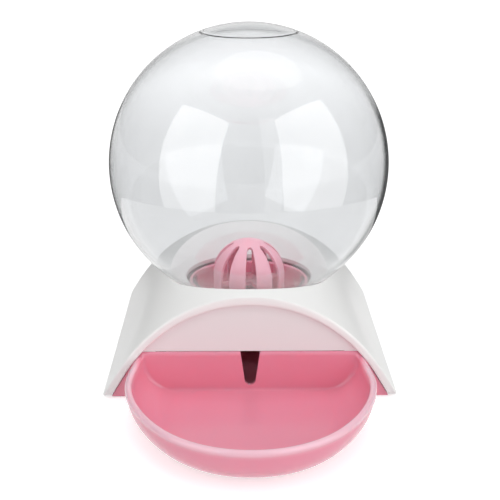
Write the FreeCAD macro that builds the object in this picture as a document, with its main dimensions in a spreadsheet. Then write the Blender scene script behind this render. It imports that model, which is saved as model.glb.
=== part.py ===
import FreeCAD, Part
import math
import os
from types import SimpleNamespace

import Sketcher

# Gravity water dispenser for pets: a clear globe stands upside down in a white arch and fills a pink bowl.
# Millimetres, +Z up, origin on the floor under the middle of the bounding box, the bowl towards -Y.

SIZES = [
    ("globe_radius", 90.0),
    ("globe_wall", 2.0),
    ("globe_floor_radius", 29.0),
    ("neck_radius", 37.0),
    ("neck_wall", 2.4),
    ("neck_length", 17.957),
    ("lug_depth", 1.8),
    ("lug_height", 2.4),
    ("lug_angle", 36.0),
    ("lug_rise", 4.0),
    ("lug_gap", 0.2),
    ("turning_gap", 0.4),
    ("cap_wall", 2.2),
    ("cap_plate", 3.0),
    ("cap_skirt", 18.0),
    ("clip_gap", 0.15),
    ("clip_wall", 1.2),
    ("clip_hook", 1.0),
    ("gasket_thickness", 1.0),
    ("outlet_radius", 11.0),
    ("spout_wall", 2.5),
    ("spout_length", 4.5),
    ("cage_radius", 24.3),
    ("cage_wall", 2.0),
    ("cage_side_height", 24.8),
    ("cage_flange_radius", 30.0),
    ("cage_flange", 2.0),
    ("cage_slot_angle", 18.0),
    ("cage_slot_foot", 8.0),
    ("cage_crown_radius", 9.9),
    ("guide_rise", 18.0),
    ("guide_radius", 7.5),
    ("guide_length", 3.0),
    ("guide_arm_width", 3.0),
    ("stem_radius", 3.6),
    ("stem_reach", 8.5),
    ("pin_radius", 2.6),
    ("pin_length", 15.4),
    ("disc_radius", 13.5),
    ("disc_thickness", 3.0),
    ("seal_radius", 14.5),
    ("seal_thickness", 1.6),
    ("valve_travel", 4.5),
    ("spring_wire_radius", 0.45),
    ("spring_mean_radius", 5.2),
    ("spring_turns", 4.0),
    ("shell_half_width", 91.0),
    ("shell_height", 63.1),
    ("crown_rise", 11.0),
    ("shell_wall", 4.6),
    ("leg_angle", 58.0),
    ("leg_foot_height", 2.0),
    ("front_foot_reach", 85.0),
    ("front_crown_reach", 75.2),
    ("rear_foot_reach", 88.0),
    ("rear_crown_reach", 78.0),
    ("lip_round", 1.5),
    ("seat_gap", 0.3),
    ("seat_dip", 14.901),
    ("seat_wall", 2.6),
    ("seat_hole_radius", 43.5),
    ("seat_round", 1.4),
    ("panel_recess", 2.6),
    ("panel_thickness", 2.4),
    ("panel_low_edge", 30.2),
    ("panel_gap", 0.15),
    ("rear_panel_low_edge", 4.0),
    ("shell_foot_width", 3.6),
    ("shell_foot_length", 20.0),
    ("shell_foot_inset", 25.0),
    ("bowl_half_width", 72.4),
    ("bowl_reach", 188.5),
    ("bowl_front_length", 86.0),
    ("bowl_nose_radius", 65.0),
    ("bowl_rim_height", 26.5),
    ("bowl_rim_band", 3.4),
    ("bowl_rim_step", 0.9),
    ("bowl_rim_round", 1.3),
    ("bowl_wall", 3.0),
    ("bowl_floor_height", 4.0),
    ("bowl_cove", 21.5),
    ("bowl_outer_cove", 22.5),
    ("tray_under_height", 1.5),
    ("tray_gap", 0.7),
    ("divider_reach", 80.0),
    ("divider_thickness", 2.6),
    ("divider_gap", 0.5),
    ("divider_round", 1.6),
    ("slot_top_width", 13.0),
    ("slot_foot_width", 7.2),
    ("slot_foot_height", 11.0),
    ("slot_round", 0.8),
    ("slot_spare", 1.0),
    ("well_side_gap", 12.0),
    ("well_rear_reach", 70.0),
    ("well_height", 27.0),
    ("well_wall", 2.5),
    ("well_corner", 20.0),
    ("post_radius", 4.5),
    ("pad_radius", 6.5),
    ("bowl_pad_spread", 30.0),
    ("bowl_pad_back", 104.0),
    ("bowl_pad_front", 152.0),
    ("well_pad_side_inset", 16.0),
    ("well_pad_rear_inset", 22.0),
]

doc = FreeCAD.newDocument("water_dispenser")
sheet = doc.addObject("Spreadsheet::Sheet", "Sizes")
for row, (alias, number) in enumerate(SIZES, 1):
    sheet.set("A%d" % row, alias)
    sheet.set("B%d" % row, str(number))
    sheet.setAlias("B%d" % row, alias)
doc.recompute()


class Length:
    """A size with its number and the formula that binds it to the sheet."""

    def __init__(self, number, formula):
        self.number = number
        self.formula = formula

    @staticmethod
    def of(other):
        return other if isinstance(other, Length) else Length(float(other), repr(float(other)))

    def __add__(self, other):
        other = Length.of(other)
        return Length(self.number + other.number, "(%s + %s)" % (self.formula, other.formula))

    def __sub__(self, other):
        other = Length.of(other)
        return Length(self.number - other.number, "(%s - %s)" % (self.formula, other.formula))

    def __mul__(self, other):
        other = Length.of(other)
        return Length(self.number * other.number, "(%s * %s)" % (self.formula, other.formula))

    def __truediv__(self, other):
        other = Length.of(other)
        return Length(self.number / other.number, "(%s / %s)" % (self.formula, other.formula))

    def __rsub__(self, other):
        return Length.of(other) - self

    def __neg__(self):
        return Length.of(0) - self

    __radd__ = __add__
    __rmul__ = __mul__

    def root(self):
        return Length(math.sqrt(self.number), "sqrt(%s)" % self.formula)

    def sine(self):
        return Length(math.sin(math.radians(self.number)), "sin(%s * 1 deg)" % self.formula)

    def cosine(self):
        return Length(math.cos(math.radians(self.number)), "cos(%s * 1 deg)" % self.formula)


size = SimpleNamespace(**{alias: Length(float(sheet.get(alias)), "Sizes." + alias) for alias, _ in SIZES})
ZERO = Length.of(0)


def other_leg(radius, side):
    """The second leg of a right triangle with this hypotenuse."""
    return (radius * radius - side * side).root()


# Outline of the arch: straight splayed legs that run into a round crown, which is higher over the middle

leg_sine = size.leg_angle.sine()
leg_cosine = size.leg_angle.cosine()


def crown_at(reach):
    """The radius of the crown and the height of its centre at a reach from the middle of the arch."""
    share = reach / size.front_crown_reach
    top = size.shell_height + size.crown_rise * (1 - share * share)
    rise = top - size.leg_foot_height
    radius = (size.shell_half_width * leg_sine - rise * leg_cosine) / (1 - leg_cosine)
    return radius, top - radius


def arch_corners(inset, low, reach=ZERO):
    """The four corners of the arch at a distance inside its outline, down to low."""
    radius, middle = crown_at(reach)
    turn_x = (radius - inset) * leg_sine
    turn_z = middle + (radius - inset) * leg_cosine
    foot_x = turn_x + (turn_z - low) * leg_cosine / leg_sine
    return [(-foot_x, low), (-turn_x, turn_z), (turn_x, turn_z), (foot_x, low)]


# Levels and radii that several pieces share; the globe dips into the hole in the crown of the arch

axis_y = (size.bowl_reach - size.globe_radius) / 2
seat_radius = size.globe_radius + size.seat_gap
crown_radius, crown_middle = crown_at(ZERO)
seat_edge = crown_middle + other_leg(crown_radius, size.seat_hole_radius) - size.seat_dip
centre_z = seat_edge + other_leg(seat_radius, size.seat_hole_radius)
neck_root = centre_z - other_leg(size.globe_radius, size.neck_radius)
neck_end = neck_root - size.neck_length
cavity_radius = size.globe_radius - size.globe_wall
bore_radius = size.neck_radius - size.neck_wall
cap_top_of_plate = neck_end - size.gasket_thickness
cap_bottom = cap_top_of_plate - size.cap_plate
cap_bore = size.neck_radius + size.lug_depth + size.turning_gap
neck_lug_low = neck_end + size.lug_rise
cap_lug_low = neck_lug_low + size.lug_height + size.lug_gap
cage_foot = cap_top_of_plate
cage_centre = cage_foot + size.cage_side_height
cage_top = cage_centre + size.cage_radius
seal_low = cap_top_of_plate + size.valve_travel
disc_low = seal_low + size.seal_thickness
disc_top = disc_low + size.disc_thickness
stem_low = cap_top_of_plate - size.stem_reach
guide_low = cage_foot + size.guide_rise
bowl_back = size.divider_reach
bowl_turn_y = size.bowl_reach - size.bowl_front_length
divider_top = size.panel_low_edge - size.divider_gap


def sketch_on(body, role, name, offset=None):
    """An empty sketch on one of the body's own planes, moved along its normal by offset."""
    plane = [feature for feature in body.Origin.OriginFeatures if feature.Role == role][0]
    sketch = body.newObject("Sketcher::SketchObject", name)
    sketch.AttachmentSupport = [(plane, "")]
    sketch.MapMode = "FlatFace"
    if offset is not None:
        sketch.AttachmentOffset.Base.z = offset.number
        sketch.setExpression("AttachmentOffset.Base.z", offset.formula)
    return sketch


def pin_point(sketch, geometry, end, point):
    """Holds one end of a line or an arc at a point given by two lengths."""
    for kind, length in zip(("DistanceX", "DistanceY"), point):
        number = sketch.addConstraint(Sketcher.Constraint(kind, -1, 1, geometry, end, length.number))
        sketch.setExpression("Constraints[%d]" % number, length.formula)


def closed_loop(sketch, points, arcs=None):
    """A closed outline; arcs gives the centre and the radius of the sides that are round."""
    arcs = arcs or {}
    points = [(Length.of(x), Length.of(y)) for x, y in points]
    ends = []
    first = sketch.GeometryCount
    for side, start in enumerate(points):
        stop = points[(side + 1) % len(points)]
        begin = FreeCAD.Vector(start[0].number, start[1].number, 0)
        finish = FreeCAD.Vector(stop[0].number, stop[1].number, 0)
        if side not in arcs:
            sketch.addGeometry(Part.LineSegment(begin, finish), False)
            ends.append((1, 2))
            continue
        (middle_x, middle_y), radius, anticlockwise = arcs[side]
        middle = FreeCAD.Vector(Length.of(middle_x).number, Length.of(middle_y).number, 0)
        low, high = (begin, finish) if anticlockwise else (finish, begin)
        angles = [math.atan2(spot.y - middle.y, spot.x - middle.x) for spot in (low, high)]
        if angles[1] <= angles[0]:
            angles[1] += 2 * math.pi
        circle = Part.Circle(middle, FreeCAD.Vector(0, 0, 1), radius.number)
        sketch.addGeometry(Part.ArcOfCircle(circle, angles[0], angles[1]), False)
        ends.append((1, 2) if anticlockwise else (2, 1))
    for side, point in enumerate(points):
        following = (side + 1) % len(points)
        sketch.addConstraint(Sketcher.Constraint(
            "Coincident", first + side, ends[side][1], first + following, ends[following][0]))
        pin_point(sketch, first + side, ends[side][0], point)
    for side, (middle, radius, anticlockwise) in arcs.items():
        number = sketch.addConstraint(Sketcher.Constraint("Radius", first + side, radius.number))
        sketch.setExpression("Constraints[%d]" % number, radius.formula)


def new_body(name, y=axis_y):
    """An empty body that stands at y from the origin."""
    body = doc.addObject("PartDesign::Body", name)
    body.Label = name
    body.setExpression("Placement.Base.y", Length.of(y).formula)
    return body


def turned(body, name, points, arcs=None, kind="Revolution", angle=None):
    """Turns a half profile (radius, height) about the upright axis, a full turn or angle centred on +X."""
    sketch = sketch_on(body, "XZ_Plane", name + "_profile")
    closed_loop(sketch, points, arcs)
    feature = body.newObject("PartDesign::" + kind, name)
    feature.Profile = sketch
    feature.ReferenceAxis = (sketch, ["V_Axis"])
    if angle is None:
        feature.Angle = 360
    else:
        feature.Midplane = True
        feature.setExpression("Angle", angle.formula)
    sketch.Visibility = False
    doc.recompute()
    return feature


def around(body, feature, count, name):
    """Repeats a feature evenly about the upright axis."""
    pattern = body.newObject("PartDesign::PolarPattern", name)
    pattern.Originals = [feature]
    axis = [item for item in body.Origin.OriginFeatures if item.Role == "Z_Axis"][0]
    pattern.Axis = (axis, [""])
    pattern.Angle = 360
    pattern.Occurrences = count
    body.Tip = pattern
    doc.recompute()
    return pattern


def padded(body, name, role, points, length, arcs=None, offset=None, both_ways=False):
    """Pads a closed outline drawn on one of the body's planes."""
    sketch = sketch_on(body, role, name + "_outline", offset)
    closed_loop(sketch, points, arcs)
    pad = body.newObject("PartDesign::Pad", name)
    pad.Profile = sketch
    pad.Midplane = both_ways
    pad.setExpression("Length", length.formula)
    sketch.Visibility = False
    doc.recompute()
    return pad


def combined(kind, name, base, tool):
    """One boolean of two pieces."""
    result = doc.addObject("Part::" + kind, name)
    result.Base = base
    result.Tool = tool
    doc.recompute()
    return result


def joined(name, shapes):
    """Several overlapping pieces as one."""
    result = doc.addObject("Part::MultiFuse", name)
    result.Shapes = shapes
    result.Refine = True
    doc.recompute()
    return result


def ball(name, radius):
    """A full ball about the centre of the globe."""
    sphere = doc.addObject("Part::Sphere", name)
    sphere.setExpression("Radius", radius.formula)
    sphere.setExpression("Placement.Base.y", axis_y.formula)
    sphere.setExpression("Placement.Base.z", centre_z.formula)
    return sphere


def drum(name, radius, low, high, x=ZERO, y=axis_y):
    """An upright cylinder from low to high."""
    cylinder = doc.addObject("Part::Cylinder", name)
    cylinder.Label = name
    cylinder.setExpression("Radius", radius.formula)
    cylinder.setExpression("Height", (high - low).formula)
    for letter, place in zip("xyz", (x, y, low)):
        cylinder.setExpression("Placement.Base." + letter, Length.of(place).formula)
    return cylinder


def rounded(name, base, radius, chosen):
    """Rounds the edges of a piece for which chosen answers yes."""
    result = doc.addObject("Part::Fillet", name)
    result.Base = base
    numbers = [number for number, edge in enumerate(base.Shape.Edges, 1) if chosen(edge)]
    result.Edges = [(number, radius.number, radius.number) for number in numbers]
    doc.recompute()
    return result


# Clear globe with a thick, flat inner floor at the far end and a neck with four lugs

globe = new_body("globe_bottle")
floor_z = centre_z + other_leg(cavity_radius, size.globe_floor_radius)
bore_root = centre_z - other_leg(cavity_radius, bore_radius)
turned(globe, "globe_wall_turned", [
    (ZERO, centre_z + size.globe_radius),
    (size.neck_radius, neck_root),
    (size.neck_radius, neck_end),
    (bore_radius, neck_end),
    (bore_radius, bore_root),
    (size.globe_floor_radius, floor_z),
    (ZERO, floor_z),
], arcs={
    0: ((ZERO, centre_z), size.globe_radius, False),
    4: ((ZERO, centre_z), cavity_radius, True),
})


def lug_ring(body, name, near, far, low):
    """Four lugs about the upright axis, the first one towards +X."""
    lug = turned(body, name, [
        (near, low), (far, low), (far, low + size.lug_height), (near, low + size.lug_height),
    ], angle=size.lug_angle)
    return around(body, lug, 4, name + "s")


neck_middle = size.neck_radius - size.neck_wall / 2
lug_ring(globe, "neck_lug", neck_middle, size.neck_radius + size.lug_depth, neck_lug_low)

# Cap with a lugged skirt, a plate that is the valve seat, and a spout that sets the water level

cap = new_body("screw_cap")
cap_outside = cap_bore + size.cap_wall
cap_top = cap_bottom + size.cap_plate + size.cap_skirt
spout_outside = size.outlet_radius + size.spout_wall
turned(cap, "cap_wall_turned", [
    (size.outlet_radius, cap_top_of_plate),
    (size.outlet_radius, cap_bottom - size.spout_length),
    (spout_outside, cap_bottom - size.spout_length),
    (spout_outside, cap_bottom),
    (cap_outside, cap_bottom),
    (cap_outside, cap_top),
    (cap_bore, cap_top),
    (cap_bore, cap_top_of_plate),
])
lug_ring(cap, "cap_lug", size.neck_radius + size.turning_gap, cap_bore + size.cap_wall / 2, cap_lug_low)
clip_near = size.cage_flange_radius + size.clip_gap
clip_far = clip_near + size.clip_wall
clip_hook = clip_near - size.clip_hook
clip_grip = cap_top_of_plate + size.cage_flange + size.clip_gap
clip = turned(cap, "cage_clip", [
    (clip_near, cap_top_of_plate - size.cap_plate / 2),
    (clip_far, cap_top_of_plate - size.cap_plate / 2),
    (clip_far, clip_grip + size.clip_wall),
    (clip_hook, clip_grip),
    (clip_near, clip_grip),
], angle=size.lug_angle)
around(cap, clip, 4, "cage_clips")

# Soft ring between the end of the neck and the plate of the cap

gasket = new_body("cap_gasket")
gasket_inside = clip_far + size.turning_gap
gasket_outside = cap_bore - size.turning_gap
turned(gasket, "gasket_turned", [
    (gasket_inside, cap_top_of_plate), (gasket_outside, cap_top_of_plate),
    (gasket_outside, neck_end), (gasket_inside, neck_end),
])

# Slotted dome over the valve, with a hub on four arms that guides the valve pin

cage = new_body("strainer_cage")
cage_inside = size.cage_radius - size.cage_wall
flange_top = cage_foot + size.cage_flange
turned(cage, "cage_wall_turned", [
    (cage_inside, cage_foot),
    (size.cage_flange_radius, cage_foot),
    (size.cage_flange_radius, flange_top),
    (size.cage_radius, flange_top),
    (size.cage_radius, cage_centre),
    (ZERO, cage_top),
    (ZERO, cage_top - size.cage_wall),
    (cage_inside, cage_centre),
], arcs={
    4: ((ZERO, cage_centre), size.cage_radius, True),
    6: ((ZERO, cage_centre), cage_inside, False),
})
slot_inner = cage_inside - size.cage_wall
slot_outer = size.cage_radius + size.cage_wall
slot_crown = cage_centre + other_leg(size.cage_radius, size.cage_crown_radius)
slot = turned(cage, "cage_slot", [
    (slot_inner, cage_foot + size.cage_slot_foot),
    (slot_outer, cage_foot + size.cage_slot_foot),
    (slot_outer, slot_crown),
    (size.cage_crown_radius, slot_crown),
    (size.cage_crown_radius, cage_centre + other_leg(slot_inner, size.cage_crown_radius)),
    (slot_inner, cage_centre),
], arcs={4: ((ZERO, cage_centre), slot_inner, False)}, kind="Groove", angle=size.cage_slot_angle)
slot_count = 8
around(cage, slot, slot_count, "cage_slots")
rib_turn = Length.of(180 / slot_count)
rib_sine = rib_turn.sine()
rib_cosine = rib_turn.cosine()
arm_reach = cage_inside + size.cage_wall / 2
arm_side = size.guide_arm_width / 2
arm_outline = [
    (along * rib_cosine - aside * rib_sine, along * rib_sine + aside * rib_cosine)
    for along, aside in ((ZERO, -arm_side), (arm_reach, -arm_side), (arm_reach, arm_side), (ZERO, arm_side))
]
arm = padded(cage, "guide_arm", "XY_Plane", arm_outline, size.guide_length, offset=guide_low)
around(cage, arm, slot_count // 2, "guide_arms")
guide_bore = size.pin_radius + size.turning_gap
guide_top = guide_low + size.guide_length
turned(cage, "guide_hub", [
    (ZERO, guide_low), (size.guide_radius, guide_low), (size.guide_radius, guide_top), (ZERO, guide_top),
])
turned(cage, "guide_bore", [
    (ZERO, guide_low), (guide_bore, guide_low), (guide_bore, guide_top), (ZERO, guide_top),
], kind="Groove")

# Valve plunger, held open by the post of the tray, and its soft seal

plunger = new_body("valve_plunger")
turned(plunger, "plunger_turned", [
    (ZERO, stem_low),
    (size.stem_radius, stem_low),
    (size.stem_radius, disc_low),
    (size.disc_radius, disc_low),
    (size.disc_radius, disc_top),
    (size.pin_radius, disc_top),
    (size.pin_radius, disc_top + size.pin_length),
    (ZERO, disc_top + size.pin_length),
])
seal = new_body("valve_seal")
turned(seal, "seal_turned", [
    (size.stem_radius, seal_low), (size.seal_radius, seal_low),
    (size.seal_radius, disc_low), (size.stem_radius, disc_low),
])


def arc_along(start, heading, stop):
    """The arc that leaves start along heading and ends at stop."""
    chord = stop - start
    along = FreeCAD.Vector(chord).normalize()
    aside = heading - along * heading.dot(along)
    turn = math.atan2(aside.Length, heading.dot(along))
    middle = (start + stop) * 0.5 + aside.normalize() * (chord.Length / 2 * math.tan(turn / 2))
    return Part.Arc(start, middle, stop).toShape()


def biarc(start, leaving, stop, arriving):
    """Two arcs that run into each other, from start along leaving to stop along arriving."""
    chord = stop - start
    both = leaving + arriving
    slack = 2 * (1 - leaving.dot(arriving))
    reach = (math.sqrt(chord.dot(both) ** 2 + slack * chord.dot(chord)) - chord.dot(both)) / slack
    meeting = (start + stop + (leaving - arriving) * reach) * 0.5
    second = arc_along(stop, arriving * -1, meeting)
    return [arc_along(start, leaving, meeting), second.reversed()]


def coil(radius, low, high, turns, tail):
    """The centre line of an upright coil, a biarc for each quarter turn and a straight tail at each end."""
    steps = int(round(turns * 4))
    rise = (high - low) / steps

    def spot(step):
        angle = step * math.pi / 2
        return FreeCAD.Vector(radius * math.cos(angle), radius * math.sin(angle), low + rise * step)

    def heading(step):
        angle = step * math.pi / 2
        level = FreeCAD.Vector(-math.sin(angle), math.cos(angle), 0) * radius
        return (level + FreeCAD.Vector(0, 0, rise * 2 / math.pi)).normalize()

    start = spot(0) - heading(0) * tail
    edges = [Part.makeLine(start, spot(0))]
    for step in range(steps):
        edges += biarc(spot(step), heading(step), spot(step + 1), heading(step + 1))
    edges.append(Part.makeLine(spot(steps), spot(steps) + heading(steps) * tail))
    points = [spot(step / 8) for step in range(steps * 8 + 1)]
    return Part.Wire(edges), start, heading(0), points


# Steel spring between the disc of the plunger and the hub of the cage

wire = size.spring_wire_radius.number
spring_low = disc_top + size.spring_wire_radius * 1.3
spring_high = guide_low - size.spring_wire_radius * 1.3
turns = size.spring_turns.number
spine, spring_start, spring_heading, spring_points = coil(
    size.spring_mean_radius.number, spring_low.number, spring_high.number, turns, 2 * wire)
half_turn = len(spring_points) // round(2 * turns)
spring_gap = min(one.distanceToPoint(two) for place, one in enumerate(spring_points)
                 for two in spring_points[place + half_turn:]) - 2 * wire
print("least gap of the spring to itself %.2f mm" % spring_gap)
spring = doc.addObject("Part::Feature", "valve_spring")
spring.Label = "valve_spring"
wire_section = Part.Wire([Part.makeCircle(wire, spring_start, spring_heading)])
spring.Shape = spine.makePipeShell([wire_section], True, False)
spring.Placement = FreeCAD.Placement(FreeCAD.Vector(0, axis_y.number, 0), FreeCAD.Rotation())

# White arch with a ball-shaped seat for the globe


def arch_block(name, inset, low):
    """A solid block under the arch outline, through an outline at each end and one over the middle."""
    block = new_body(name)
    outlines = []
    for number, reach in enumerate((-block_reach, ZERO, block_reach)):
        radius, middle = crown_at(reach)
        outline = sketch_on(block, "XZ_Plane", "%s_outline_%d" % (name, number), reach)
        closed_loop(outline, arch_corners(inset, low, reach), {1: ((ZERO, middle), radius - inset, False)})
        outline.Visibility = False
        outlines.append(outline)
    loft = block.newObject("PartDesign::AdditiveLoft", name + "_loft")
    loft.Profile = outlines[0]
    loft.Sections = outlines[1:]
    doc.recompute()
    return block


def lean_line(foot, crown):
    """The y of an end face at a height: it leans back from foot to crown."""
    slope = (foot - crown) / (size.shell_height - size.leg_foot_height)
    return lambda height: foot - slope * (height - size.leg_foot_height)


front_face = lean_line(size.front_foot_reach, size.front_crown_reach)
rear_face = lean_line(size.rear_foot_reach, size.rear_crown_reach)
above = size.shell_height * 1.5
below = -size.shell_height * 0.5
block_reach = size.rear_foot_reach * 1.1
block_width = size.shell_half_width * 3


def side_block(name, near, far, low=below):
    """A block across the whole width, from low up, between two leaning faces that give y at a height."""
    block = new_body(name)
    padded(block, name + "_pad", "YZ_Plane", [
        (near(low), low), (near(above), above), (far(above), above), (far(low), low),
    ], block_width, both_ways=True)
    return block


arch_solid = combined(
    "Common", "arch_solid", arch_block("arch_outside", 0, size.leg_foot_height),
    side_block("arch_length", lambda height: -front_face(height), rear_face))
arch_ring = combined(
    "Cut", "arch_ring", arch_solid,
    arch_block("arch_inside", size.shell_wall, -size.leg_foot_height))


def on_end_face(edge):
    """True for the arch outlines on the two leaning end faces, not for the feet."""
    spots = [vertex.Point for vertex in edge.Vertexes]
    if len(spots) < 2 or max(spot.z for spot in spots) < size.leg_foot_height.number + 0.01:
        return False
    away = [spot.y - axis_y.number for spot in spots]
    front = [abs(y + front_face(spot.z).number) < 0.01 for y, spot in zip(away, spots)]
    rear = [abs(y - rear_face(spot.z).number) < 0.01 for y, spot in zip(away, spots)]
    return all(front) or all(rear)


arch_round = rounded("arch_round", arch_ring, size.lip_round, on_end_face)
seat_ball = ball("seat_ball", seat_radius)
seat_cup = combined("Common", "seat_cup", ball("seat_outside", seat_radius + size.seat_wall), arch_solid)
shell_full = joined("shell_full", [arch_round, seat_cup])
shell_seated = combined("Cut", "shell_seated", shell_full, seat_ball)
shell_open = combined("Cut", "shell_open", shell_seated,
                      drum("seat_hole", size.seat_hole_radius, ZERO, size.shell_height))


def on_seat_rim(edge):
    """True for the line in which the seat meets the outside of the arch."""
    centre = FreeCAD.Vector(0, axis_y.number, centre_z.number)
    first, last = edge.ParameterRange
    spots = [edge.valueAt(first + (last - first) * step / 4) for step in range(5)]
    on_ball = all(abs(spot.distanceToPoint(centre) - seat_radius.number) < 0.01 for spot in spots)
    away = [math.hypot(spot.x, spot.y - axis_y.number) for spot in spots]
    return on_ball and min(away) > size.seat_hole_radius.number * 1.02


arch_shell = rounded("arch_shell", shell_open, size.seat_round, on_seat_rim)

# Front and rear panels that close the arch


def panel(name, face, low, turn):
    """A leaning plate that fills the arch behind one end face; turn is -1 in front and 1 behind."""
    fill = arch_block(name + "_fill", size.shell_wall + size.panel_gap, size.leg_foot_height)
    near = size.panel_recess
    far = size.panel_recess + size.panel_thickness
    slab = side_block(name + "_slab", lambda height: (face(height) - near) * turn,
                      lambda height: (face(height) - far) * turn, low)
    return combined("Common", name, fill, slab)


front_panel = panel("front_panel", front_face, size.panel_low_edge, -1)
rear_panel = panel("rear_panel", rear_face, size.rear_panel_low_edge, 1)

# Rubber strips under the four legs

leg_outside = arch_corners(ZERO, size.leg_foot_height)[3][0]
leg_inside = arch_corners(size.shell_wall, size.leg_foot_height)[3][0]
leg_middle = (leg_outside + leg_inside) / 2
front_foot_y = size.shell_foot_inset - size.front_foot_reach
rear_foot_y = size.rear_foot_reach - size.shell_foot_inset
shell_feet = []
for end_name, foot_y in (("front", front_foot_y), ("rear", rear_foot_y)):
    for side_name, side_sign in (("left", -1), ("right", 1)):
        foot = doc.addObject("Part::Box", "shell_foot_%s_%s" % (end_name, side_name))
        foot.setExpression("Length", size.shell_foot_width.formula)
        foot.setExpression("Width", size.shell_foot_length.formula)
        foot.setExpression("Height", size.leg_foot_height.formula)
        corner_x = leg_middle * side_sign - size.shell_foot_width / 2
        corner_back = axis_y + foot_y - size.shell_foot_length / 2
        foot.setExpression("Placement.Base.x", corner_x.formula)
        foot.setExpression("Placement.Base.y", corner_back.formula)
        shell_feet.append(foot)

# Pink tray: drinking bowl in front, dividing wall with a water slot, and the well that the spout dips into


def bowl_block(body, name, inset, low, high):
    """A block with a straight back, straight sides and an oval front of three arcs in one smooth run."""
    half = size.bowl_half_width
    nose = size.bowl_nose_radius
    drop = size.bowl_front_length - nose
    flank = (half * half + drop * drop - nose * nose) / ((half - nose) * 2)
    meet_x = (nose - inset) * (flank - half) / (flank - nose)
    meet_y = size.bowl_reach - nose + (nose - inset) * drop / (flank - nose)
    edge = half - inset
    padded(body, name, "XY_Plane", [
        (-edge, -bowl_back), (-edge, -bowl_turn_y), (-meet_x, -meet_y),
        (meet_x, -meet_y), (edge, -bowl_turn_y), (edge, -bowl_back),
    ], high - low, arcs={
        1: ((flank - half, -bowl_turn_y), flank - inset, True),
        2: ((ZERO, nose - size.bowl_reach), nose - inset, True),
        3: ((half - flank, -bowl_turn_y), flank - inset, True),
    }, offset=low)
    return body


def level_round(name, block, radius, level):
    """Rounds the edges of a bowl block at one level, except along its straight back."""
    def chosen(edge):
        spots = [edge.valueAt(part) for part in edge.ParameterRange]
        flat = all(abs(spot.z - level.number) < 0.01 for spot in spots)
        back = all(abs(spot.y - axis_y.number + bowl_back.number) < 0.01 for spot in spots)
        return flat and not back
    return rounded(name, block, radius, chosen)


under = size.tray_under_height
rim_top = size.bowl_rim_height
body_inset = size.bowl_rim_step
inner_inset = body_inset + size.bowl_wall
bowl_outer = bowl_block(new_body("bowl_outer"), "bowl_outer_pad", body_inset, under, rim_top)
bowl_outside = level_round("bowl_outside", bowl_outer, size.bowl_outer_cove, under)
bowl_band = bowl_block(new_body("bowl_band"), "bowl_band_pad", ZERO, rim_top - size.bowl_rim_band, rim_top)
bowl_inner = bowl_block(
    new_body("bowl_inner"), "bowl_inner_pad", inner_inset, size.bowl_floor_height, rim_top * 2)
bowl_inside = level_round("bowl_inside", bowl_inner, size.bowl_cove, size.bowl_floor_height)
bowl_sharp = combined("Cut", "bowl_sharp", joined("bowl_full", [bowl_outside, bowl_band]), bowl_inside)
bowl_hollow = level_round("bowl_hollow", bowl_sharp, size.bowl_rim_round, rim_top)

divider_fill = arch_block("divider_fill", size.shell_wall + size.tray_gap, under)
divider_slab = new_body("divider_slab")
padded(divider_slab, "divider_slab_pad", "YZ_Plane", [
    (-bowl_back, under), (-bowl_back, divider_top),
    (size.divider_thickness - bowl_back, divider_top), (size.divider_thickness - bowl_back, under),
], block_width, both_ways=True)
divider = combined("Common", "divider", divider_fill, divider_slab)

well = new_body("well")
well_half = arch_corners(size.shell_wall, size.well_height)[3][0] - size.well_side_gap
well_back = size.well_rear_reach
corner_y = well_back - size.well_corner


def well_block(body, name, inset, low, high, front):
    """A block with a straight front and two round rear corners."""
    half = well_half - inset
    turn = size.well_corner - inset
    straight = half - turn
    padded(body, name, "XY_Plane", [
        (-half, front), (half, front), (half, corner_y), (straight, well_back - inset),
        (-straight, well_back - inset), (-half, corner_y),
    ], high - low, arcs={
        2: ((straight, corner_y), turn, True),
        4: ((-straight, corner_y), turn, True),
    }, offset=low)
    return body


well_block(well, "well_pad", ZERO, under, size.well_height, size.divider_thickness / 2 - bowl_back)
well_inside = well_block(new_body("well_inner"), "well_inner_pad", size.well_wall, size.bowl_floor_height,
                         size.well_height * 2, size.divider_thickness - bowl_back)
well_hollow = combined("Cut", "well_hollow", well, well_inside)
post = drum("post", size.post_radius, under, stem_low)
tray_full = joined("tray_full", [bowl_hollow, divider, well_hollow, post])


def on_divider_foot(edge):
    """True where the front of the dividing wall meets the floor and the coves of the bowl."""
    first, last = edge.ParameterRange
    spots = [edge.valueAt(first + (last - first) * step / 4) for step in range(5)]
    on_wall = all(abs(spot.y - axis_y.number + bowl_back.number) < 0.01 for spot in spots)
    cove_top = size.bowl_floor_height.number + size.bowl_cove.number
    edge_x = size.bowl_half_width.number - inner_inset.number
    return on_wall and all(size.bowl_floor_height.number - 0.01 < spot.z < cove_top + 0.01
                           and abs(spot.x) < edge_x + 0.01 for spot in spots)


tray_coved = rounded("tray_coved", tray_full, size.divider_round, on_divider_foot)

slot_tool = new_body("water_slot")
slot_turn = size.slot_foot_width / 2
slot_spread = size.slot_top_width / 2
slot_top = divider_top + size.slot_spare
slot_end = ((ZERO, size.slot_foot_height), slot_turn, True)
slot_start = bowl_back - size.divider_thickness * 1.5
padded(slot_tool, "water_slot_pad", "XZ_Plane", [
    (-slot_spread, slot_top), (-slot_turn, size.slot_foot_height),
    (ZERO, size.slot_foot_height - slot_turn), (slot_turn, size.slot_foot_height),
    (slot_spread, slot_top),
], size.divider_thickness * 2, arcs={1: slot_end, 2: slot_end}, offset=slot_start)
tray_slotted = combined("Cut", "tray_slotted", tray_coved, slot_tool)

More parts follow.
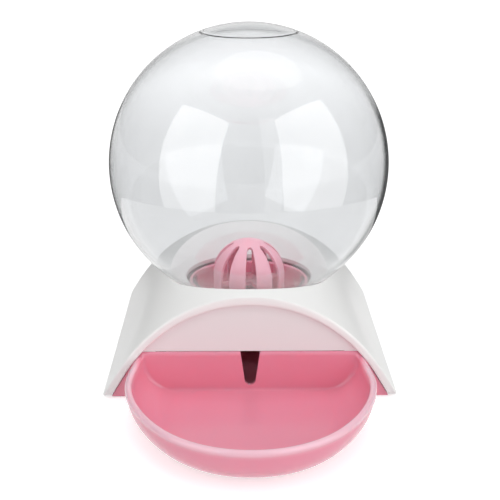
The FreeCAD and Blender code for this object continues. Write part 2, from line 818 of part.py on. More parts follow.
relief_outside = arch_block("relief_outside", -size.shell_wall, -size.leg_foot_height)
relief_inset = size.shell_wall + size.tray_gap / 2
relief_inside = arch_block("relief_inside", relief_inset, -size.leg_foot_height * 2)
relief_ring = combined("Cut", "relief_ring", relief_outside, relief_inside)
relief = combined(
    "Common", "relief", relief_ring,
    side_block("relief_length", lambda height: -front_face(height) - size.tray_gap, rear_face))
tray_sharp = combined("Cut", "tray_sharp", tray_slotted, relief)


def on_slot_front(edge):
    """True for the outline of the water slot on the bowl side of the dividing wall."""
    spots = [edge.valueAt(part) for part in edge.ParameterRange]
    return all(abs(spot.y - axis_y.number + bowl_back.number) < 0.01 and abs(spot.x) <= slot_spread.number
               and spot.z > size.bowl_floor_height.number * 1.25 for spot in spots)


bowl_tray = rounded("bowl_tray", tray_sharp, size.slot_round, on_slot_front)

# Rubber pads under the tray

pad_places = [
    ("tray_pad_front", ZERO, -size.bowl_pad_front),
    ("tray_pad_bowl_left", -size.bowl_pad_spread, -size.bowl_pad_back),
    ("tray_pad_bowl_right", size.bowl_pad_spread, -size.bowl_pad_back),
    ("tray_pad_rear_left", size.well_pad_side_inset - well_half, well_back - size.well_pad_rear_inset),
    ("tray_pad_rear_right", well_half - size.well_pad_side_inset, well_back - size.well_pad_rear_inset),
]
tray_pads = [drum(name, size.pad_radius, ZERO, under, x, axis_y + y) for name, x, y in pad_places]

doc.recompute()

# Every piece is checked, then written out

pieces = [
    globe, cap, gasket, cage, plunger, seal, spring, arch_shell, front_panel, rear_panel, bowl_tray,
] + shell_feet + tray_pads
for item in doc.Objects:
    if "Invalid" in item.State or "Error" in item.State:
        raise RuntimeError("%s did not build: %s" % (item.Name, item.State))
os.makedirs("parts", exist_ok=True)
for piece in pieces:
    shape = piece.Shape
    if shape.isNull() or not shape.isValid() or not shape.Solids:
        raise RuntimeError("%s has no sound solid" % piece.Label)
    shape.exportStep("parts/%s.step" % piece.Label)
    print("%-24s %9.0f mm3, solids %d" % (piece.Label, shape.Volume, len(shape.Solids)))
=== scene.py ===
import math

import bmesh
import bpy
import numpy as np
from mathutils import Matrix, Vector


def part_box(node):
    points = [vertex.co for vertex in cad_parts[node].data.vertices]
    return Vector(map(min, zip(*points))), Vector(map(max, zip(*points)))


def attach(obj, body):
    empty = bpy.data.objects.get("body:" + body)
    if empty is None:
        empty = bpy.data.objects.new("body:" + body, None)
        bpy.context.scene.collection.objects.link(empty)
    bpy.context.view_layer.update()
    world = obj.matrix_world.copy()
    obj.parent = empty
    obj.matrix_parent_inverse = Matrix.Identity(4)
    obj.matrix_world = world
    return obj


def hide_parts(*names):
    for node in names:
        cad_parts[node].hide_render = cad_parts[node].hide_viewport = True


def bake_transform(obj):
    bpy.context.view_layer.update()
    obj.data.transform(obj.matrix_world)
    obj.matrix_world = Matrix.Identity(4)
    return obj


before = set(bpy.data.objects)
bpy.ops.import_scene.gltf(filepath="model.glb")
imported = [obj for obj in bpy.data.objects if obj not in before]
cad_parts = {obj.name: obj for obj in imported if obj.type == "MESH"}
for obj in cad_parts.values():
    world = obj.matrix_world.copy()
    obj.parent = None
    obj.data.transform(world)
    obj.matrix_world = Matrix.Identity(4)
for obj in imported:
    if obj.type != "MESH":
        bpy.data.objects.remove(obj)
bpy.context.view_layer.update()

# Gravity water dispenser for pets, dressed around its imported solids. Metres; the globe's axis is upright.

AXIS_Y = 0.04925
GLOBE_RADIUS = 0.090
GLOBE_WALL = 0.002
GLOBE_CENTRE = 0.126
GLOBE_MIDDLE = np.array([0, AXIS_Y, GLOBE_CENTRE])
NECK_RADIUS = 0.037
NECK_WALL = 0.0024
NECK_END = 0.026
BASE_RADIUS = 0.029
LUG_LOW = 0.030
LUG_HEIGHT = 0.0024
LUG_DEPTH = 0.0018
LUG_ANGLE = math.radians(36)
LUGS = 4
QUARTER = math.pi / 2

scene = bpy.context.scene
scene.view_settings.view_transform = "Standard"

# Materials


class Flow:
    """A node's output with arithmetic: each operator adds one Math node."""

    def __init__(self, tree, socket):
        self.tree = tree
        self.socket = socket

    def math(self, operation, *values):
        """This flow, and further values after it, put through one operation."""
        return make(self.tree, "ShaderNodeMath", dict(enumerate((self, *values))), operation=operation)

    def __add__(self, other):
        return self.math("ADD", other)

    def __mul__(self, other):
        return self.math("MULTIPLY", other)

    def __rsub__(self, other):
        return make(self.tree, "ShaderNodeMath", {0: other, 1: self}, operation="SUBTRACT")

    __radd__ = __add__
    __rmul__ = __mul__

    def between(self, low, high, start=0.0, stop=1.0):
        """Eases from start to stop while the value goes from low to high."""
        sockets = {"Value": self, "From Min": low, "From Max": high, "To Min": start, "To Max": stop}
        return make(self.tree, "ShaderNodeMapRange", sockets, interpolation_type="SMOOTHSTEP")

    def falling(self, low, high):
        """Eases from 1 to 0 while the value goes from low to high."""
        return self.between(low, high, 1.0, 0.0)


def make(tree, kind, sockets=None, out=0, **settings):
    """Adds one node: its settings, then the values or links of its sockets; gives one of its outputs."""
    node = tree.nodes.new(kind)
    for name, value in settings.items():
        setattr(node, name, value)
    for name, value in (sockets or {}).items():
        if isinstance(value, Flow):
            tree.links.new(value.socket, node.inputs[name])
        else:
            node.inputs[name].default_value = value
    return Flow(tree, node.outputs[out])


def join(tree, flow, node, socket):
    """Links a flow to a socket of a node that is there already."""
    tree.links.new(flow.socket, node.inputs[socket])


def preset(node, values):
    """Sets plain values of a node's sockets."""
    for name, value in values.items():
        node.inputs[name].default_value = value


def split(tree, vector):
    """The x, y and z of a vector."""
    node = make(tree, "ShaderNodeSeparateXYZ", {0: vector}).socket.node
    return [Flow(tree, socket) for socket in node.outputs]


def looks(tree, *kinds):
    """For each kind of look, 1 where a surface is seen that way and 0 elsewhere."""
    paths = tree.nodes.new("ShaderNodeLightPath")
    return [Flow(tree, paths.outputs["Is %s Ray" % kind]) for kind in kinds]


def object_place(tree):
    """The object's own coordinates, on which every pattern lies."""
    return make(tree, "ShaderNodeTexCoord", out=3)


def noise(tree, place, scale, detail=2.0, roughness=0.5):
    """Cloudy noise around one half."""
    sockets = {"Vector": place, "Scale": scale, "Detail": detail, "Roughness": roughness}
    return make(tree, "ShaderNodeTexNoise", sockets)


def waved(tree, shader, height, strength, depth):
    """Tilts the shading of a surface by a height map of some depth."""
    bump = make(tree, "ShaderNodeBump", {"Strength": strength, "Distance": depth, "Height": height})
    join(tree, bump, shader, "Normal")


def linear(red, green, blue):
    """A screen colour of 0 to 255 as linear light."""
    parts = [value / 255 for value in (red, green, blue)]
    return tuple(p / 12.92 if p <= 0.04045 else ((p + 0.055) / 1.055) ** 2.4 for p in parts) + (1.0,)


def two_tone(tree, factor, first, second):
    """Mixes two colours by a factor; each of them is a flow or a screen colour."""
    first, second = (one if isinstance(one, Flow) else linear(*one) for one in (first, second))
    return make(tree, "ShaderNodeMix", {"Factor": factor, "A": first, "B": second}, out=2, data_type="RGBA")


def bare_material(name):
    """A new material and its tree."""
    material = bpy.data.materials.new(name)
    material.use_nodes = True
    return material, material.node_tree


def new_material(name):
    """A new material, its tree, its surface shader and the object's coordinates."""
    material, tree = bare_material(name)
    return material, tree, tree.nodes["Principled BSDF"], object_place(tree)


NOISE_SPAN = (0.3, 0.7)


class Moulding:
    """What all moulded plastics share, and where a painted glow fades in on the bowl's rim: upwards and
    forwards.
    """

    cloud_scale, wipe_scale, skin_scale = 11.0, 34.0, 60.0
    cloud_span = (0.35, 0.65)
    gloss_spread, skin_depth, bending = 0.03, 0.0005, 1.5
    sunk_share, sunk_reach = 0.4, (1.0, 0.4, 0.45)
    painted_glow_heights = (0.0205, 0.0262)
    painted_glow_places = (AXIS_Y - 0.096, AXIS_Y - 0.081)


def moulded(name, colour, cloud, rough, peel=0.03, specular=0.5, depth=0.0, rim=None):
    """Injection-moulded plastic: faint flow clouds in the colour, slow waves in the skin and an uneven
    gloss. With depth, some of the light sinks in and comes out again nearby; with a rim colour, a painted
    glow makes the bowl's rim paler, standing in for light shining through its slender wall."""
    material, tree, shader, place = new_material(name)
    clouds = noise(tree, place, Moulding.cloud_scale)
    wipe = noise(tree, place, Moulding.wipe_scale)
    skin = noise(tree, place, Moulding.skin_scale, detail=0.0)
    tone = two_tone(tree, clouds.between(*Moulding.cloud_span), colour, cloud)
    if rim:
        _, forward, height = split(tree, place)
        # Painted glow: towards the top and front of the bowl the colour turns paler, for light shining
        # through the rim.
        painted_rim_glow = height.between(*Moulding.painted_glow_heights) * forward.falling(*Moulding.painted_glow_places)
        tone = two_tone(tree, painted_rim_glow, tone, rim)
    gloss = wipe.between(*NOISE_SPAN, rough - Moulding.gloss_spread, rough + Moulding.gloss_spread)
    join(tree, tone, shader, "Base Color")
    join(tree, gloss, shader, "Roughness")
    waved(tree, shader, skin, peel, Moulding.skin_depth)
    preset(shader, {"IOR": Moulding.bending, "Specular IOR Level": specular})
    if depth:
        preset(shader, {"Subsurface Weight": Moulding.sunk_share, "Subsurface Radius": Moulding.sunk_reach,
                        "Subsurface Scale": depth})
    return material


class LimbShade:
    """Painted shade on the globe's limbs, for the dark room seen through the wall edge-on: how far edge-on
    each skin is seen, at which heights the wall is upright, and how much earlier the right side turns dark."""

    outer_turn, inner_turn, inner_share = (0.76, 0.89), (0.86, 1.0), 0.6
    low, high = (0.062, 0.080), (0.160, 0.184)
    sides, sooner = (-0.05, 0.05), (-0.02, 0.08)
    outer_skin = (GLOBE_RADIUS - 0.0012, GLOBE_RADIUS - 0.0008)
    colour = (20, 21, 22)


class Clear:
    """Values of the globe's clear plastic."""

    wave_scale, wave_strength, wave_depth = 9.0, 0.04, 0.001
    haze_scale, haze_gloss, tint_span, bending = 40.0, (0.0, 0.015), (0.05, 0.6), 1.49
    colour, haze, tint = (241, 242, 243), (243, 244, 245), (235, 236, 237)


def clear_plastic():
    """Clear blown plastic with slight waves and a faint haze; where the upright wall is seen edge-on,
    painted shade turns its colour near-black, first on the outer skin and later on the inner one."""
    material, tree, shader, place = new_material("clear_plastic")
    waves, haze = (noise(tree, place, scale, detail=1.0, roughness=0.4)
                   for scale in (Clear.wave_scale, Clear.haze_scale))
    edge_on = make(tree, "ShaderNodeLayerWeight", {"Blend": 0.5}, out=1)
    ends = {0: place, 1: tuple(GLOBE_MIDDLE)}
    reach = make(tree, "ShaderNodeVectorMath", ends, out=1, operation="DISTANCE")
    sideways, _, height = split(tree, place)
    shade_edge_on = edge_on + sideways.between(*LimbShade.sides, *LimbShade.sooner)
    upright = height.between(*LimbShade.low) * height.falling(*LimbShade.high)
    outer = reach.between(*LimbShade.outer_skin)
    inner_shade = (1 - outer) * shade_edge_on.between(*LimbShade.inner_turn) * LimbShade.inner_share
    path = outer * shade_edge_on.between(*LimbShade.outer_turn) + inner_shade
    clear = two_tone(tree, haze.between(*NOISE_SPAN), Clear.colour, Clear.haze)
    tinted = two_tone(tree, edge_on.between(*Clear.tint_span), clear, Clear.tint)
    # Painted shade: near-black limbs mixed into the colour, only at the upright heights and earlier on the
    # right.
    join(tree, two_tone(tree, path * upright, tinted, LimbShade.colour), shader, "Base Color")
    join(tree, haze.between(*NOISE_SPAN, *Clear.haze_gloss), shader, "Roughness")
    waved(tree, shader, waves, Clear.wave_strength, Clear.wave_depth)
    preset(shader, {"Transmission Weight": 1.0, "IOR": Clear.bending})
    return material


def drawn_wire():
    """Bright drawn steel wire with fine scratches in its colour and its gloss."""
    light, dark, gloss = (214, 214, 216), (190, 190, 192), (0.2, 0.34)
    material, tree, shader, place = new_material("spring_wire")
    scratch = noise(tree, place, scale=900.0)
    join(tree, two_tone(tree, scratch, dark, light), shader, "Base Color")
    join(tree, scratch.between(*NOISE_SPAN, *gloss), shader, "Roughness")
    preset(shader, {"Metallic": 1.0})
    return material


WHITE = moulded("white_moulded", (249, 249, 248), (247, 247, 246), rough=0.36, specular=0.25)
# Panel white: painted shade and painted pink bounce, a greyer, pinker copy of the shell's white.
SHADED_PANEL_WHITE = moulded("panel_painted_shade", (242, 240, 240), (240, 238, 238), rough=0.38, specular=0.25)
PINK = moulded("pink_moulded", (243, 155, 176), (242, 152, 174), rough=0.22, depth=0.003)
# The bowl's rim colour below is a painted glow, for light shining through the rim.
BOWL_PINK = moulded("bowl_moulded", (243, 156, 177), (242, 153, 175), rough=0.17, depth=0.003,
                    rim=(255, 206, 219))
# Paler pink of cage and plunger: painted sheen, a lighter copy of the bowl's pink for the glow of
# translucent plastic.
SHEEN_PALE_PINK = moulded("pale_pink_painted_sheen", (252, 192, 207), (251, 189, 204), rough=0.34, depth=0.004)
SILICONE = moulded("milky_silicone", (234, 232, 230), (226, 224, 221), rough=0.55, peel=0.08)
RUBBER = moulded("grey_rubber", (150, 150, 152), (140, 140, 142), rough=0.7, peel=0.2)
CLEAR = clear_plastic()
STEEL = drawn_wire()

# Surfaces from grids of points

STEP = 0.0012
DOUBLES = 1e-7
SHARP = math.radians(38)


def cells(points, wrap_across, wrap_along, first):
    """The four corner numbers of each cell of a grid of points (along, across, xyz)."""
    along, across = points.shape[:2]
    number = np.arange(along * across).reshape(along, across) + first
    if wrap_across:
        number = np.concatenate([number, number[:, :1]], axis=1)
    if wrap_along:
        number = np.concatenate([number, number[:1]], axis=0)
    corners = [number[:-1, :-1], number[:-1, 1:], number[1:, 1:], number[1:, :-1]]
    return np.stack(corners, axis=-1).reshape(-1, 4)


def merged(mesh, closed):
    """Merges a mesh's doubles at seams and poles, turns a closed one's faces outwards, and shades it smooth
    apart from its sharp edges."""
    work = bmesh.new()
    work.from_mesh(mesh)
    bmesh.ops.remove_doubles(work, verts=work.verts, dist=DOUBLES)
    if closed:
        bmesh.ops.recalc_face_normals(work, faces=work.faces)
    work.to_mesh(mesh)
    work.free()
    mesh.polygons.foreach_set("use_smooth", np.ones(len(mesh.polygons), bool))
    mesh.set_sharp_from_angle(angle=SHARP)


def surface(name, grids, material, node, body, closed=True):
    """A piece from grids, each of them its points and whether it closes across and along: one face a cell.
    It stands for a node, and rides on a body if one is given."""
    firsts = np.cumsum([0] + [points.shape[0] * points.shape[1] for points, _, _ in grids])
    faces = [cells(*grid, first) for grid, first in zip(grids, firsts)]
    places = [points.reshape(-1, 3) for points, _, _ in grids]
    mesh = bpy.data.meshes.new(name)
    mesh.from_pydata(np.concatenate(places), [], np.concatenate(faces))
    merged(mesh, closed)
    mesh.materials.append(material)
    piece = bpy.data.objects.new(name, mesh)
    bpy.context.collection.objects.link(piece)
    if body:
        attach(piece, body)
    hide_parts(node)
    return piece


def hidden_from(piece, *kinds):
    """Hides a piece from some kinds of look."""
    for kind in kinds:
        setattr(piece, "visible_" + kind, False)


def eased(value):
    """A smooth step from 0 to 1."""
    value = np.clip(value, 0, 1)
    return value * value * (3 - 2 * value)


def corner(before, at, after, radius, count=9):
    """A rounded corner: a curve of three control points, from radius before it to radius after it."""
    before, at, after = (np.asarray(point, float) for point in (before, at, after))
    start = at + (before - at) / np.linalg.norm(before - at) * radius
    stop = at + (after - at) / np.linalg.norm(after - at) * radius
    step = np.linspace(0, 1, count)[:, None]
    return (1 - step) ** 2 * start + 2 * step * (1 - step) * at + step ** 2 * stop


def divided(line, spacing):
    """A line with its runs divided into short steps: each run's start, moved on by equal shares of it."""
    runs = np.diff(line, axis=0)
    counts = np.maximum(1, (np.linalg.norm(runs, axis=1) / spacing).astype(int))
    number = np.repeat(np.arange(len(runs)), counts)
    place = np.arange(len(number)) - (np.cumsum(counts) - counts)[number]
    share = place * (1 / counts[number])
    return np.concatenate([line[:-1][number] + runs[number] * share[:, None], line[-1:]])


def profile(points, radii, spacing=STEP):
    """A profile through points, rounded at each one between the ends, its runs divided into short steps."""
    bends = [corner(*three, radius) for *three, radius in zip(points, points[1:], points[2:], radii)]
    start, stop = (np.array([end], float) for end in (points[0], points[-1]))
    return divided(np.concatenate([start, *bends, stop]), spacing)


def stub(radius, low, high, radii, spacing=STEP):
    """The profile of a solid round stub, from the middle of its foot to the middle of its top."""
    return profile([(0, low), (radius, low), (radius, high), (0, high)], radii, spacing)


def round_loop(corners, radius):
    """A closed loop through corners, each of them rounded by radius and the runs between them divided."""
    around = [corners[-1], *corners, corners[0]]
    bends = [corner(*three, radius, count=6) for three in zip(around, around[1:], around[2:])]
    return divided(np.concatenate(bends + [bends[0][:1]]), STEP)[:-1]


def square_loop(near, far, low, high, radius):
    """A rounded rectangle between two reaches and two heights."""
    return round_loop([(near, low), (far, low), (far, high), (near, high)], radius)


def full_turn(count):
    """Equal angles once round."""
    return np.linspace(0, 2 * math.pi, count, endpoint=False)


def about_axis(radius, angle, height):
    """Points at a radius, an angle and a height about the globe's axis."""
    x, y = radius * np.cos(angle), AXIS_Y + radius * np.sin(angle)
    return np.stack(np.broadcast_arrays(x, y, height), -1)


def turned(line, segments):
    """A profile (radius, height) carried round the globe's axis, as a grid."""
    return about_axis(line[:, :1], full_turn(segments), line[:, 1:])


def part_turn(loop, middle, span):
    """A closed loop (radius, height) carried about the axis through span, its ends drawn to its middle."""
    count = 16
    angle = middle + np.linspace(-span / 2, span / 2, count)[[0, *range(count), -1]]
    share = np.ones((count + 2, 1, 1))
    share[[0, -1]] = 0
    section = loop.mean(axis=0) + (loop - loop.mean(axis=0)) * share
    return about_axis(section[..., 0], angle[:, None], section[..., 1]), True, False


def bar(loop, start, stop):
    """A closed loop (x, z) carried along y from start to stop, narrower at the ends and closed there."""
    ease = 0.0004
    place = np.array([start, start, start + ease, stop - ease, stop, stop])
    middle = loop.mean(axis=0)
    shut, full = np.zeros(2), np.ones(2)
    narrow = 1 - ease / np.abs(loop - middle).max(axis=0)
    share = np.stack([shut, narrow, full, full, narrow, shut])[:, None]
    section = middle + (loop - middle) * share
    return np.stack(np.broadcast_arrays(section[..., 0], place[:, None], section[..., 1]), -1), True, False


# Globe


class Globe:
    """Sizes of the bottle's roundings, lugs and inner ridge; shy is how far the outside stays within the
    solid's, and skin how deep the neck counts as outside."""

    segments, shy, skin = 216, 0.00001, 0.0002
    flare, root, lip, neck_step, bore_run = 0.003, 0.0031, 0.0006, 0.0004, 0.012
    lug_end, lug_end_ease, lug_side, lug_side_ease = 0.006, 0.024, 0.0002, 0.0005
    ridge, ridge_half = 0.00014, 0.0009
    tiny = 1e-6


def ball_profile(radius, angle):
    """Points of a ball's profile at angles from the top."""
    return np.stack([radius * np.sin(angle), GLOBE_CENTRE + radius * np.cos(angle)], axis=-1)


def globe_line():
    """Half of the globe's section: outside from the top over the ball and down the neck, then inside back
    up to the top, where a low bell-shaped ridge marks the edge of the thicker base."""
    inside, bore = GLOBE_RADIUS - GLOBE_WALL, NECK_RADIUS - NECK_WALL
    last = math.pi - math.asin((NECK_RADIUS + Globe.flare) / GLOBE_RADIUS)
    outer = ball_profile(GLOBE_RADIUS - Globe.shy, np.linspace(0, last, 170))
    neck_top = GLOBE_CENTRE - GLOBE_RADIUS * math.cos(math.asin(NECK_RADIUS / GLOBE_RADIUS))
    root = corner(outer[-1], (NECK_RADIUS, neck_top), (NECK_RADIUS, NECK_END), Globe.root)
    neck = profile([root[-1], (NECK_RADIUS, NECK_END), (bore, NECK_END), (bore, NECK_END + Globe.bore_run)],
                   [Globe.lip, Globe.lip], Globe.neck_step)
    bore_top = GLOBE_CENTRE - inside * math.cos(math.asin(bore / inside))
    first = math.pi - math.asin((bore + Globe.flare) / inside)
    # Angles from the top in three runs, with finer steps over the ridge
    runs = [(first, 0.40, 100), (0.39, 0.28, 44), (0.26, 0, 14)]
    angle = np.concatenate([np.linspace(*run) for run in runs])
    off = (inside * np.sin(angle) - BASE_RADIUS) / Globe.ridge_half
    ridge = Globe.ridge * np.exp(-off ** 2) * (angle < 1)
    inner = ball_profile(inside - ridge, angle)
    bend = corner((bore, NECK_END), (bore, bore_top), inner[0], Globe.root)
    return np.concatenate([outer, root[1:], neck[1:], bend, inner[1:]])


def globe_bottle():
    """The globe's section turned about its axis; on the outside of the neck the radius grows by the lugs, a
    product of a soft step in height and a soft step in angle."""
    line = globe_line()
    points = turned(line, Globe.segments)
    radius, height = line[:, :1], line[:, 1:]
    off = np.abs((full_turn(Globe.segments) + QUARTER / 2) % QUARTER - QUARTER / 2)
    across = eased((LUG_ANGLE / 2 + Globe.lug_end - off) / Globe.lug_end_ease)
    above = np.abs(height - LUG_LOW - LUG_HEIGHT / 2)
    along = eased((LUG_HEIGHT / 2 + Globe.lug_side - above) / Globe.lug_side_ease)
    along = along * (radius > NECK_RADIUS - Globe.skin)
    grow = 1 + (along * across * LUG_DEPTH) / np.maximum(radius, Globe.tiny)
    points[..., 0] *= grow
    points[..., 1] = AXIS_Y + (points[..., 1] - AXIS_Y) * grow
    piece = surface("globe", [(points, True, False)], CLEAR, "globe_bottle", "globe")
    hidden_from(piece, "shadow", "diffuse")


# Arch


class Arch:
    """The arch's outline at each y: splayed straight legs and a round crown between them, highest midway."""

    half_width = 0.091
    leg_angle = math.radians(58)
    foot_z = 0.0008
    lip_height = 0.0631
    crown_rise = 0.011
    wall = 0.0046
    front_foot, front_crown = 0.085, 0.0752
    rear_foot, rear_crown = 0.088, 0.078
    seat, cup, hole = GLOBE_RADIUS + 0.0003, GLOBE_RADIUS + 0.0029, 0.0435
    rim_inside, rim_outside, rim_round = 0.0010, 0.0012, 0.0015
    lip_round, foot_rounder, inner_round = 0.0027, 0.0006, 0.0024
    foot_top, foot_ease = 0.006, 0.003

    @classmethod
    def height(cls, x, y, inset):
        """Height of a surface inset below the outside, at x and at y from the globe's axis."""
        sine, cosine = math.sin(cls.leg_angle), math.cos(cls.leg_angle)
        crown = cls.lip_height + cls.crown_rise * (1 - (y / cls.front_crown) ** 2)
        radius = (cls.half_width * sine - (crown - cls.foot_z) * cosine) / (1 - cosine)
        middle = crown - radius
        inner = radius - inset
        turn_x, turn_z = inner * sine, middle + inner * cosine
        x = np.abs(x)
        round_z = middle + np.sqrt(np.maximum(inner ** 2 - np.minimum(x, turn_x) ** 2, 0))
        return np.where(x < turn_x, round_z, turn_z - (x - turn_x) * sine / cosine)

    @classmethod
    def leaning(cls, foot, crown, z):
        """Reach of a leaning face at a height, from its reach at the foot and at the lip."""
        lean = (foot - crown) / (cls.lip_height - cls.foot_z)
        return foot - lean * (z - cls.foot_z)

    @classmethod
    def front(cls, z):
        """Reach of the front face at a height."""
        return cls.leaning(cls.front_foot, cls.front_crown, z)

    @classmethod
    def rear(cls, z):
        """Reach of the rear face at a height."""
        return cls.leaning(cls.rear_foot, cls.rear_crown, z)


def solved(test, low, high):
    """For each entry, the place between low and high at which test falls below zero, by halving."""
    halvings = 44
    low, high = np.array(low, float), np.array(high, float)
    for _ in range(halvings):
        middle = (low + high) / 2
        inside = test(middle) > 0
        low = np.where(inside, middle, low)
        high = np.where(inside, high, middle)
    return (low + high) / 2


def softened(reach):
    """A ring of reaches, each a weighted mean of itself and two neighbours on both sides."""
    weights = np.array([1, 4, 6, 4, 1]) / 16
    return sum(weight * np.roll(reach, shift) for shift, weight in zip(range(-2, 3), weights))


def bent(before, at, after, radius, count=7):
    """Rounds one corner of many profiles at once: before, at and after are (across, xyz)."""
    def toward(point):
        """The point at radius from the corner, or at half the way if that is less."""
        away = point - at
        length = np.linalg.norm(away, axis=-1, keepdims=True)
        return at + away / length * np.minimum(radius, length / 2)

    start, stop = toward(before), toward(after)
    step = np.linspace(0, 1, count)[:, None, None]
    return (1 - step) ** 2 * start + 2 * step * (1 - step) * at + step ** 2 * stop


def arch_shell():
    """The white shell as a closed ring of profiles about the globe's axis: up the ball-shaped seat, over
    its rim, down the outside of the arch to the lip or the foot, round the edge, back up the inside and
    down the back of the seat."""
    count, widest_ring, least_edge, widest_edge = 448, 0.0895, 0.06, 0.14
    turn = full_turn(count)
    cos, sin = np.cos(turn), np.sin(turn)

    def skin(reach, inset):
        """Height of the arch, or of a surface inset below it, at a reach from the axis."""
        return Arch.height(reach * cos, reach * sin, inset)

    def ball(reach, radius):
        """Height of the lower half of a ball about the globe's middle."""
        return GLOBE_CENTRE - np.sqrt(np.maximum(radius ** 2 - reach ** 2, 0))

    def within(reach, inset):
        """Above zero where the surface lies above the foot and between the two leaning faces."""
        height, y = skin(reach, inset), reach * sin
        return np.minimum(np.minimum(height - Arch.foot_z, y + Arch.front(height)), Arch.rear(height) - y)

    def run(start, stop, steps, height):
        """Rows from one reach to another in equal steps, at the heights of a surface."""
        reach = start + (stop - start) * np.linspace(0, 1, steps)[:, None]
        return about_axis(reach, turn, height(reach))

    ring = solved(lambda r: skin(r, 0) - ball(r, Arch.seat), Arch.hole, widest_ring)
    inner_ring = solved(lambda r: skin(r, Arch.wall) - ball(r, Arch.cup), Arch.hole, widest_ring)
    edge = softened(solved(lambda r: within(r, 0), ring, widest_edge))
    inner_edge = softened(solved(lambda r: within(r, Arch.wall), least_edge, widest_edge))
    up = run(Arch.hole, ring - Arch.rim_inside, 30, lambda r: ball(r, Arch.seat))
    over = run(ring + Arch.rim_outside, edge, 60, lambda r: skin(r, 0))
    back = run(inner_edge, inner_ring, 34, lambda r: skin(r, Arch.wall))
    down = run(inner_ring, Arch.hole, 18, lambda r: ball(r, Arch.cup))
    rim = bent(up[-1], about_axis(ring, turn, ball(ring, Arch.seat)), over[0], Arch.rim_round)
    standing = eased((Arch.foot_top - over[-1][:, 2:]) / Arch.foot_ease)
    outer_round = Arch.lip_round + Arch.foot_rounder * standing
    # The rows that the rounded edge takes the place of
    cut = 7
    outer_corner = bent(over[-cut - 1], over[-1], back[0], outer_round, count=11)
    inner_corner = bent(over[-1], back[0], back[3], Arch.inner_round)
    points = np.concatenate([up, rim, over[:-cut], outer_corner, inner_corner, back[1:], down])
    surface("shell", [(points, True, True)], WHITE, "arch_shell", "arch")


def panel(name, node, low, face, sign):
    """A leaning plate that fills the arch behind one face: for each x a closed loop, up the front and down
    the back."""
    recess, thick, gap = 0.0026, 0.0024, 0.00015
    widest, plate_y, plate_z = 0.09, 0.078, 0.05
    inset = Arch.wall + gap
    reach = solved(lambda x: Arch.height(x, plate_y, inset) - low, 0, widest)
    x = np.sin(np.linspace(-QUARTER, QUARTER, 160)) * reach
    sides = []
    for depth, start, stop in ((recess, 0, 1), (recess + thick, 1, 0)):
        top = Arch.height(x, sign * (face(plate_z) - depth), inset)
        z = low + np.maximum(top - low, 0) * np.linspace(start, stop, 16)[:, None]
        y = AXIS_Y + sign * (face(z) - depth)
        sides.append(np.stack(np.broadcast_arrays(x, y, z), -1))
    surface(name, [(np.concatenate(sides), False, True)], SHADED_PANEL_WHITE, node, "arch")


# Cap, cage and valve


class Cap:
    """Sizes of the screw cap: radii, and heights above the floor."""

    bore, spout, skirt_inside, skirt = 0.0110, 0.0135, 0.0392, 0.0414
    spout_low, plate_low, plate_top, skirt_top = 0.0175, 0.0220, 0.0250, 0.0430
    lug_near, lug_far, lug_low, lug_top = 0.0374, 0.0403, 0.0326, 0.0350
    clip_hook, clip_near, clip_far = 0.02925, 0.03015, 0.03135
    clip_low, clip_catch, clip_top = 0.0240, 0.02718, 0.02825
    gasket_near, gasket_far, gasket_top = 0.03175, 0.0388, 0.0260


class Cage:
    """Sizes of the slotted dome and the hub inside it: radii, heights and lengths along the dome's side."""

    radius, foot, centre, wall, edge = 0.0243, 0.0252, 0.0498, 0.002, 0.0004
    ribs, first_rib = 8, math.radians(3)
    slot_half, slot_low, slot_round, crown = math.radians(9), 0.008, 0.0030, 0.0099
    dimple, dimple_radius, dimple_ease = 0.0004, 0.0012, 0.0006
    flange_near, flange_far, flange_low, flange_top = 0.0228, 0.0300, 0.0250, 0.0270
    hub_near, hub_far, hub_low, hub_top = 0.0030, 0.0075, 0.0430, 0.0460
    arm_half, arm_start, arm_stop, arm_turn = 0.0015, 0.0070, 0.0229, 25.5


class Valve:
    """Sizes of the open valve: radii, and heights above the floor."""

    stem, disc, pin, seal = 0.0036, 0.0135, 0.0026, 0.0145
    foot, seal_low, disc_low, disc_top, pin_top = 0.0165, 0.02956, 0.0311, 0.0341, 0.0495
    wire, coil, coil_low, coil_high, coil_turns, coil_taper = 0.00045, 0.0052, 0.03455, 0.04255, 4.0, 0.002


def cage_dome():
    """The slotted dome in eight ribs: up the straight wall and over the ball-shaped crown; each rib spans
    from the edge of one slot to the edge of the next, and the half-angle of a slot falls to nothing at its
    round ends."""
    side = Cage.centre - Cage.foot
    end = side + Cage.radius * math.pi / 2
    low, high = Cage.slot_low, side + Cage.radius * math.acos(Cage.crown / Cage.radius)
    share = (1 - np.cos(np.linspace(0, math.pi, 90))) / 2
    below, above = np.linspace(0, low, 8)[:-1], np.linspace(high, end, 24)[1:]
    path = np.concatenate([below, low + (high - low) * share, above])
    inside = (path > low) & (path < high)
    from_end = np.maximum(1 - (path - low) / Cage.slot_round, 1 - (high - path) / Cage.slot_round)
    half = Cage.slot_half * np.sqrt(np.clip(1 - np.clip(from_end, 0, 1) ** 2, 0, 1)) * inside
    lean = np.maximum(path - side, 0) / Cage.radius
    reach = Cage.radius * np.cos(lean)
    dimple = Cage.dimple * eased((Cage.dimple_radius - reach) / Cage.dimple_ease)
    height = Cage.foot + np.minimum(path, side) + Cage.radius * np.sin(lean) - dimple
    pitch, across = 2 * math.pi / Cage.ribs, np.linspace(0, 1, 13)
    grids = []
    for rib in range(Cage.ribs):
        first = Cage.first_rib + rib * 2 * math.pi / Cage.ribs
        angle = first + half[:, None] + (pitch - 2 * half[:, None]) * across
        grids.append((about_axis(reach[:, None], angle, height[:, None]), False, False))
    piece = surface("cage_dome", grids, SHEEN_PALE_PINK, "strainer_cage", "cap", closed=False)
    wall = piece.modifiers.new("wall", "SOLIDIFY")
    wall.thickness = Cage.wall
    wall.offset = -1
    edge = piece.modifiers.new("edge", "BEVEL")
    edge.width = Cage.edge
    edge.segments = 2
    edge.limit_method = "ANGLE"
    edge.angle_limit = math.radians(50)


